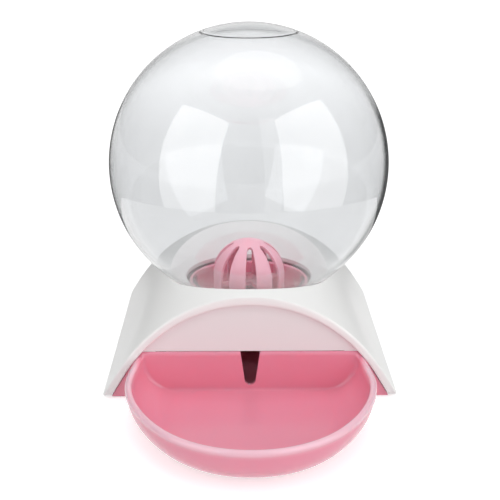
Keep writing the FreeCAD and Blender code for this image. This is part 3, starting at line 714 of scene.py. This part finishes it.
def cage_base():
    """The flange under the dome and, on four arms, the hub for the valve pin: loops about the axis and four
    bars under the middles of ribs."""
    flange = square_loop(Cage.flange_near, Cage.flange_far, Cage.flange_low, Cage.flange_top, radius=0.0003)
    hub = square_loop(Cage.hub_near, Cage.hub_far, Cage.hub_low, Cage.hub_top, radius=0.0004)
    beam = square_loop(-Cage.arm_half, Cage.arm_half, Cage.hub_low, Cage.hub_top, radius=0.0004)
    arm, across, along = bar(beam, Cage.arm_start, Cage.arm_stop)
    grids = [(turned(flange, 128), True, True), (turned(hub, 64), True, True)]
    for quarter in range(4):
        turn = math.radians(Cage.arm_turn + 90 * quarter - 90)
        x = arm[..., 0] * math.cos(turn) - arm[..., 1] * math.sin(turn)
        y = arm[..., 0] * math.sin(turn) + arm[..., 1] * math.cos(turn)
        grids.append((np.stack([x, AXIS_Y + y, arm[..., 2]], -1), across, along))
    surface("cage_base", grids, SHEEN_PALE_PINK, "strainer_cage", "cap")


def screw_cap():
    """The cap: a loop about the axis for spout, plate and skirt, lugs in the skirt, clips on the plate."""
    wall = round_loop([
        (Cap.bore, Cap.plate_top), (Cap.bore, Cap.spout_low), (Cap.spout, Cap.spout_low),
        (Cap.spout, Cap.plate_low), (Cap.skirt, Cap.plate_low), (Cap.skirt, Cap.skirt_top),
        (Cap.skirt_inside, Cap.skirt_top), (Cap.skirt_inside, Cap.plate_top)], radius=0.0006)
    lug = square_loop(Cap.lug_near, Cap.lug_far, Cap.lug_low, Cap.lug_top, radius=0.0003)
    clip = round_loop([
        (Cap.clip_near, Cap.clip_low), (Cap.clip_far, Cap.clip_low), (Cap.clip_far, Cap.clip_top),
        (Cap.clip_hook, Cap.clip_catch), (Cap.clip_near, Cap.clip_catch)], radius=0.0002)
    grids = [(turned(wall, 160), True, True)]
    for number in range(LUGS):
        for loop in (lug, clip):
            grids.append(part_turn(loop, number * QUARTER, LUG_ANGLE))
    surface("cap", grids, PINK, "screw_cap", "cap")


def valve_pieces():
    """The valve turned about the axis: plunger with disc, stem and pin, its seal, and the cap's gasket."""
    plunger = profile([
        (0, Valve.foot), (Valve.stem, Valve.foot), (Valve.stem, Valve.disc_low),
        (Valve.disc, Valve.disc_low), (Valve.disc, Valve.disc_top), (Valve.pin, Valve.disc_top),
        (Valve.pin, Valve.pin_top), (0, Valve.pin_top)],
        radii=[0.0008, 0.0004, 0.0006, 0.0006, 0.0005, 0.0008])
    seal = square_loop(Valve.stem, Valve.seal, Valve.seal_low, Valve.disc_low, radius=0.0004)
    gasket = square_loop(Cap.gasket_near, Cap.gasket_far, Cap.plate_top, Cap.gasket_top, radius=0.0003)
    stem, seal_ring, gasket_ring = turned(plunger, 72), turned(seal, 96), turned(gasket, 128)
    surface("plunger", [(stem, True, False)], SHEEN_PALE_PINK, "valve_plunger", "valve")
    surface("seal", [(seal_ring, True, True)], SILICONE, "valve_seal", "valve")
    surface("gasket", [(gasket_ring, True, True)], SILICONE, "cap_gasket", "cap")


def valve_spring():
    """A round wire carried along a helix and drawn in to a point at both ends."""
    step = np.linspace(0, 1, 480)
    angle = step * Valve.coil_turns * 2 * math.pi
    centre = about_axis(Valve.coil, angle, Valve.coil_low + (Valve.coil_high - Valve.coil_low) * step)
    heading = np.gradient(centre, axis=0)
    heading /= np.linalg.norm(heading, axis=1, keepdims=True)
    outward = np.stack([np.cos(angle), np.sin(angle), np.zeros_like(angle)], -1)
    across = np.cross(heading, outward)
    turn = full_turn(14)[:, None]
    size = Valve.wire * np.sqrt(np.clip(np.minimum(step, 1 - step) / Valve.coil_taper, 0, 1))
    ring = outward[:, None] * np.cos(turn) + across[:, None] * np.sin(turn)
    points = centre[:, None] + ring * size[:, None, None]
    piece = surface("spring", [(points, True, False)], STEEL, "valve_spring", None)
    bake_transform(piece)


# Tray with its bowl, pads and feet


class Bowl:
    """Sizes of the drinking bowl; y runs from the globe's axis, the bowl towards -y."""

    half_width, nose, front_length, reach = 0.0730, 0.0652, 0.0860, 0.1884
    rim_top, bead, floor, under = 0.0265, 0.00195, 0.0040, 0.0015
    inner_cove, outer_cove, step = 0.02055, 0.0214, 0.0009
    band_inset, band_low, band_high = 0.0002, 0.0231, 0.0234
    back, back_middle, back_rear, back_top = -0.0800, -0.0779, -0.0774, 0.0292
    corner, foot_round, middle = 0.0026, 0.0018, -0.120
    squeeze, squeeze_start, squeeze_length = 0.058, -0.125, 0.045
    slot_foot, slot_centre, slot_top, slot_narrow, slot_wide = 0.0074, 0.0110, 0.0307, 0.0036, 0.0065

    @classmethod
    def slot(cls, z):
        """Half the width of the water slot at a height: none below its foot, a round foot, then wider."""
        narrow, centre, widening = cls.slot_narrow, cls.slot_centre, cls.slot_wide - cls.slot_narrow
        foot = np.sqrt(np.clip(narrow ** 2 - (centre - z) ** 2, 0, None))
        flank = narrow + widening * (z - centre) / (cls.slot_top - centre)
        return np.where(z < cls.slot_foot, 0, np.where(z < centre, foot, flank))

    @classmethod
    def loops(cls, inset, side_z, back_y, back_z):
        """Rows of loops from the slot's left edge along the back, round the left corner, the nose and the
        right corner to the slot's right edge: three smooth arcs at each inset, drawn in towards the arch;
        the back has its own heights."""
        inset, side_z, back_y, back_z = (np.asarray(one, float)[:, None]
                                         for one in (inset, side_z, back_y, back_z))
        turn, drop = cls.corner, cls.front_length - cls.nose
        flank = (cls.half_width ** 2 + drop ** 2 - cls.nose ** 2) / (2 * (cls.half_width - cls.nose))
        meet = math.atan2(drop, flank - cls.half_width)
        turn_y = cls.front_length - cls.reach
        side, slot = cls.half_width - inset, cls.slot(back_z)
        share = np.linspace(0, 1, 18)[:-1]
        step = np.linspace(0, 1, 11)
        run = np.linspace(0, 1, 16)[1:-1]
        wide, tight = np.linspace(0, meet, 26), np.linspace(meet, math.pi / 2, 30)[1:]
        level = np.zeros_like(inset)
        x = np.concatenate([
            slot + (side - turn - slot) * share,
            side - turn * (1 - step) ** 2,
            side + level * run,
            cls.half_width - flank + (flank - inset) * np.cos(wide),
            (cls.nose - inset) * np.cos(tight)], 1)
        y = np.concatenate([
            back_y + level * share,
            back_y - turn * step ** 2,
            back_y - turn + (turn_y - back_y + turn) * run,
            turn_y - (flank - inset) * np.sin(wide),
            cls.nose - cls.reach - (cls.nose - inset) * np.sin(tight)], 1)
        ahead = len(run) + len(wide) + len(tight)
        blend = np.concatenate([np.ones(len(share)), 1 - eased(step), np.zeros(ahead)])
        x = x * (1 - cls.squeeze * np.clip((y - cls.squeeze_start) / cls.squeeze_length, 0, 1) ** 2)
        z = side_z + (back_z - side_z) * blend
        x = np.concatenate([-x, x[:, -2::-1]], 1)
        y, z = (np.concatenate([one, one[:, -2::-1]], 1) for one in (y, z))
        return np.stack([x, AXIS_Y + y, z], -1)


class Well:
    """Sizes of the well behind the dividing wall and of its post; y runs from the globe's axis. The section
    gives an inset, a height and the share of the way out from the middle."""

    half_width, front, rear, corner, front_share = 0.0579, -0.0787, 0.0700, 0.020, 0.52
    front_top, front_end, side_start = 0.0066, Bowl.back_rear + 0.0003, Bowl.back_rear + 0.0006
    section = [
        (0.0025, Bowl.floor, 0), (0.0025, Bowl.floor, 1), (0.0025, 0.0264, 1), (0.0021, 0.0269, 1),
        (0.0017, 0.0270, 1), (0.0008, 0.0270, 1), (0.0004, 0.0269, 1), (0, 0.0264, 1),
        (0, Bowl.under, 1), (0, Bowl.under, 0)]
    post, post_low = 0.0045, 0.0030


class Wing:
    """Outline (x, z) of the tray's wings, which fill the corners between the bowl and the legs, and where
    they start and stop along y from the globe's axis."""

    start, stop = -0.0812, -0.0770
    outline = [(0.0510, 0.0005), (0.0848, 0.0005), (0.0700, 0.0246), (0.0669, 0.0246),
               (0.0662, 0.0200), (0.0642, 0.0140), (0.0597, 0.0080), (0.0518, 0.0040)]


def spread(loop, inwards):
    """A flat loop drawn in to its middle in a few steps, as rows from the middle out or back in again."""
    middle = np.array([0, AXIS_Y + Bowl.middle, loop[0, 2]])
    rows = np.stack([middle + (loop - middle) * share for share in (0, 0.25, 0.5, 0.75)])
    return rows[::-1] if inwards else rows


def bowl_grids():
    """The bowl with its dividing wall as rows of loops: from the middle of the floor up the cove, over the
    round rim, down the outside and in below; two strips close the sides of the water slot."""
    rows, bead_rows, band_rows = 64, 9, 3
    lean = np.linspace(0, QUARTER, rows)
    inset = 2 * Bowl.bead + Bowl.inner_cove * (1 - np.sin(lean))
    side_z = Bowl.floor + Bowl.inner_cove * (1 - np.cos(lean))
    taller = (Bowl.back_top - Bowl.floor) / (Bowl.rim_top - Bowl.floor)
    back_z = Bowl.floor + (side_z - Bowl.floor) * taller
    low = np.clip(Bowl.foot_round - (back_z - Bowl.floor), 0, None)
    back_y = Bowl.back - Bowl.foot_round + np.sqrt(Bowl.foot_round ** 2 - low ** 2)
    inner = Bowl.loops(inset, side_z, back_y, back_z)
    arc = np.linspace(0, QUARTER, bead_rows)[1:]
    bead_z = Bowl.rim_top - Bowl.bead + Bowl.bead * np.sin(arc)
    bead_back_z = Bowl.floor + (bead_z - Bowl.floor) * taller
    ahead, behind = (Bowl.back_middle + (end - Bowl.back_middle) * np.cos(arc)
                     for end in (Bowl.back, Bowl.back_rear))
    rim_in = Bowl.loops(Bowl.bead * (1 + np.cos(arc)), bead_z, ahead, bead_back_z)
    rim_out = Bowl.loops(Bowl.bead * (1 - np.cos(arc)), bead_z, behind, bead_back_z)
    sweep = np.linspace(QUARTER, 0, rows - band_rows)
    cove_inset = Bowl.step + Bowl.outer_cove * (1 - np.cos(sweep))
    cove_z = Bowl.under + Bowl.outer_cove * (1 - np.sin(sweep))
    outer_inset = np.concatenate([cove_inset, [Bowl.band_inset, 0, 0]])
    outer_z = np.concatenate([cove_z, [Bowl.band_low, Bowl.band_high, Bowl.rim_top - Bowl.bead]])
    foot = Bowl.slot_foot
    lower_z = Bowl.under + (back_z - Bowl.floor) * (foot - Bowl.under) / (foot - Bowl.floor)
    rear_z = np.where(back_z < foot, lower_z, back_z)
    outer = Bowl.loops(outer_inset, outer_z, np.full(rows, Bowl.back_rear), rear_z)
    inside = [spread(inner[0], False), inner, rim_in]
    outside = [rim_out[-2::-1], outer[::-1], spread(outer[0], True)]
    first = int(np.argmax(back_z >= foot)) - 1
    front = np.concatenate([inner[first:], rim_in])
    rear = np.concatenate([outer[first:], rim_out])
    strips = [(np.stack([front[:, edge], rear[:, edge]], 1), False, False) for edge in (0, -1)]
    return [(np.concatenate(inside + outside), False, False), *strips]


def well_grid():
    """The well behind the dividing wall as rows of round-cornered loops: floor, inside, rounded top,
    outside and bottom; its front stays low, below the water slot."""
    rows = []
    for inset, z, share in Well.section:
        half, front = Well.half_width - inset, Well.front + inset * Well.front_share
        rear, turn = Well.rear - inset, Well.corner - inset
        bends = [corner((half, front), (half, rear), (-half, rear), turn, count=14),
                 corner((half, rear), (-half, rear), (-half, front), turn, count=14)]
        ahead = [(-half, front), (half, front), (half, Well.side_start)]
        flat = np.concatenate([ahead, *bends, [(-half, Well.side_start)]])
        level = np.where(flat[:, 1] < Well.front_end, min(z, Well.front_top), z)
        rows.append(np.column_stack([flat[:, 0] * share, AXIS_Y + flat[:, 1] * share, level]))
    return np.stack(rows), True, False


def tray():
    """The pink tray: the bowl, the well with the post that opens the valve, and a wing on each side."""
    post = stub(Well.post, Well.post_low, Valve.foot, radii=[0.0003, 0.0006])
    grids = bowl_grids() + [well_grid(), (turned(post, 48), True, False)]
    for side in (-1, 1):
        loop = round_loop([(x * side, z) for x, z in Wing.outline], radius=0.0006)
        grids.append(bar(loop, AXIS_Y + Wing.start, AXIS_Y + Wing.stop))
    surface("tray", grids, BOWL_PINK, "bowl_tray", "tray")


def pads_and_feet():
    """Rubber pads turned about their own middles, and rubber strips as bars, each where its node is."""
    pad_low_round, pad_top_round, pad_step, strip_round = 0.0005, 0.0002, 0.001, 0.0005
    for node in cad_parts:
        low, high = (np.array(end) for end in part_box(node))
        middle, half = (low + high) / 2, (high - low) / 2
        if node.startswith("tray_pad"):
            name = node.replace("tray_pad", "pad")
            line = stub(half[0], low[2], high[2], [pad_low_round, pad_top_round], pad_step)
            points = turned(line, 56) + np.array([middle[0], middle[1] - AXIS_Y, 0])
            surface(name, [(points, True, False)], RUBBER, node, "tray")
        if node.startswith("shell_foot"):
            name = node.replace("shell_foot", "foot")
            loop = square_loop(low[0], high[0], low[2], high[2], strip_round)
            surface(name, [bar(loop, low[1], high[1])], RUBBER, node, "arch")


globe_bottle()
valve_spring()
arch_shell()
panel("front_plate", "front_panel", low=0.0294, face=Arch.front, sign=-1)
panel("rear_plate", "rear_panel", low=0.004, face=Arch.rear, sign=1)
cage_dome()
cage_base()
screw_cap()
valve_pieces()
pads_and_feet()
tray()

# Floor, cards, lamps and world

PURE_WHITE = (1, 1, 1, 1)
FLOOR_HALF = 6
FLOOR_REAR = 9
CARD_GAP = 0.0003
SQUARE = [(-1, -1), (1, -1), (1, 1), (-1, 1)]
DISC = [(math.cos(step * math.pi / 32), math.sin(step * math.pi / 32)) for step in range(64)]
FRONT_DISC = [(across, along) for across, along in DISC if along > -0.48]


def floor_finish():
    """Pale matt floor that keeps the shadow; straight looks and looks through the globe see it lifted to
    white, the more so the further it lies from the lamps."""
    grey, near_and_far, straight_lift, through_lift = 0.85, (0.3, 1.6), 0.56, 0.28
    material, tree = bare_material("floor_pale")
    straight, through = looks(tree, "Camera", "Transmission")
    away = make(tree, "ShaderNodeVectorMath", {0: object_place(tree)}, out=1, operation="LENGTH")
    seen_straight = straight * away.between(*near_and_far, straight_lift, 1.0)
    lifted = seen_straight + through * away.between(*near_and_far, through_lift, 1.0)
    diffuse = make(tree, "ShaderNodeBsdfDiffuse", {"Color": (grey, grey, grey, 1)})
    lift = make(tree, "ShaderNodeEmission", {"Color": PURE_WHITE, "Strength": lifted})
    both = make(tree, "ShaderNodeAddShader", {0: diffuse, 1: lift})
    join(tree, both, tree.nodes["Material Output"], "Surface")
    return material


def glow(name, strength):
    """A plain bright face for the cards that show only in reflections."""
    material, tree = bare_material(name)
    emission = make(tree, "ShaderNodeEmission", {"Color": PURE_WHITE, "Strength": strength})
    join(tree, emission, tree.nodes["Material Output"], "Surface")
    return material


def flat_card(name, corners, material):
    """One flat face between corners, which belongs to the stage."""
    mesh = bpy.data.meshes.new(name)
    mesh.from_pydata(corners, [], [tuple(range(len(corners)))])
    mesh.materials.append(material)
    card = bpy.data.objects.new(name, mesh)
    bpy.context.collection.objects.link(card)
    return card


def facing(turn, lift, distance):
    """A place at turn degrees to the right of the camera's side and lift degrees up from the globe's
    middle, the two axes across the way to it, and the way itself."""
    turn, lift = math.radians(turn), math.radians(lift)
    away = np.array([math.sin(turn) * math.cos(lift), -math.cos(turn) * math.cos(lift), math.sin(lift)])
    side = np.array([math.cos(turn), math.sin(turn), 0.0])
    return GLOBE_MIDDLE + away * distance, side, np.cross(side, -away), away


def reflected_card(name, turn, lift, distance, width, height, strength, outline=SQUARE, inner=True):
    """A bright card that only reflections see, with inner those on the inner walls of the globe too."""
    middle, side, up, _ = facing(turn, lift, distance)
    corners = [tuple(middle + side * width / 2 * a + up * height / 2 * b) for a, b in outline]
    card = flat_card(name, corners, glow(name + "_face", strength))
    hidden_from(card, "camera", "diffuse", "shadow")
    card.visible_transmission = inner


def soft_lamp(name, turn, lift, distance, width, height, radiance, opening=180):
    """A large soft lamp that lights but doesn't show in reflections."""
    middle, side, up, away = facing(turn, lift, distance)
    lamp = bpy.data.lights.new(name, "AREA")
    lamp.shape = "RECTANGLE"
    lamp.size = width
    lamp.size_y = height
    lamp.energy = radiance * math.pi * width * height
    lamp.spread = math.radians(opening)
    holder = bpy.data.objects.new(name, lamp)
    bpy.context.collection.objects.link(holder)
    axes = np.column_stack([side, up, away, middle])
    holder.matrix_world = Matrix([*axes.tolist(), (0, 0, 0, 1)])
    hidden_from(holder, "camera", "glossy", "transmission")


def studio_world():
    """White to straight looks and to looks through the globe; reflections see a white strip behind and a dim
    room; the rest is a soft fill."""
    room, strip, fill = 0.12, 0.60, 0.38
    strip_turns, strip_heights = (math.radians(9), math.radians(20)), (0.3, 0.5)
    world = bpy.data.worlds.new("studio")
    scene.world = world
    world.use_nodes = True
    tree = world.node_tree
    straight, glossy, through = looks(tree, "Camera", "Glossy", "Transmission")
    sideways, behind, above = split(tree, make(tree, "ShaderNodeTexCoord"))
    turn = sideways.math("ARCTAN2", behind).math("ABSOLUTE")
    reflected = room + strip * (turn.falling(*strip_turns) * above.falling(*strip_heights))
    seen = straight.math("MAXIMUM", through)
    back = tree.nodes["Background"]
    preset(back, {"Color": PURE_WHITE})
    join(tree, seen + (1 - seen) * (glossy * reflected + (1 - glossy) * fill), back, "Strength")


CARDS = {
    "card_left": dict(turn=-49, lift=11, distance=1.2, width=1.10, height=1.78, strength=2.6),
    "card_right": dict(turn=53, lift=12, distance=1.2, width=1.34, height=1.78, strength=2.6),
    "card_ghost": dict(turn=18, lift=12, distance=1.25, width=0.3, height=1.78, strength=1.0),
    "card_top": dict(turn=-79, lift=96, distance=1.1, width=0.78, height=1.08, strength=1.0,
                     outline=DISC, inner=False),
    "card_table": dict(turn=0, lift=-90, distance=GLOBE_CENTRE - CARD_GAP, width=0.7, height=0.7,
                       strength=1.1, outline=FRONT_DISC, inner=False),
}
LAMPS = {
    "lamp_left": dict(turn=-50, lift=20, distance=1.3, width=1.2, height=1.5, radiance=0.44),
    "lamp_right": dict(turn=50, lift=20, distance=1.3, width=1.4, height=1.5, radiance=0.90),
    "lamp_top": dict(turn=10, lift=86, distance=1.2, width=1.1, height=1.1, radiance=1.6),
    "lamp_front": dict(turn=0, lift=8, distance=1.6, width=1.4, height=0.5, radiance=1.0),
    "lamp_seat": dict(turn=0, lift=90, distance=0.02, width=0.06, height=0.06, radiance=0.5, opening=100),
}

floor = flat_card("floor", [(-FLOOR_HALF, -FLOOR_HALF, 0), (FLOOR_HALF, -FLOOR_HALF, 0),
                            (FLOOR_HALF, FLOOR_REAR, 0), (-FLOOR_HALF, FLOOR_REAR, 0)], floor_finish())
hidden_from(floor, "glossy")
for card_name, card_values in CARDS.items():
    reflected_card(card_name, **card_values)
for lamp_name, lamp_values in LAMPS.items():
    soft_lamp(lamp_name, **lamp_values)
studio_world()

# Camera at the photograph's place

FRAME_PIXELS = 500
FOCAL_PIXELS = 950
SENSOR_WIDTH = 36
CAMERA_SHIFT = 0.0024
CAMERA_REACH = 0.60005
CAMERA_HEIGHT = 0.27892
CAMERA_TURN = math.radians(-0.61)
CAMERA_PITCH = math.radians(90 - 19.48)

eye = bpy.data.cameras.new("camera")
eye.sensor_width = SENSOR_WIDTH
eye.lens = FOCAL_PIXELS / FRAME_PIXELS * SENSOR_WIDTH
eye.shift_x = CAMERA_SHIFT
camera = bpy.data.objects.new("camera", eye)
bpy.context.collection.objects.link(camera)
camera_y = AXIS_Y - CAMERA_REACH * math.cos(CAMERA_TURN)
camera.location = (CAMERA_REACH * math.sin(CAMERA_TURN), camera_y, CAMERA_HEIGHT)
camera.rotation_euler = (CAMERA_PITCH, 0, CAMERA_TURN)
scene.camera = camera
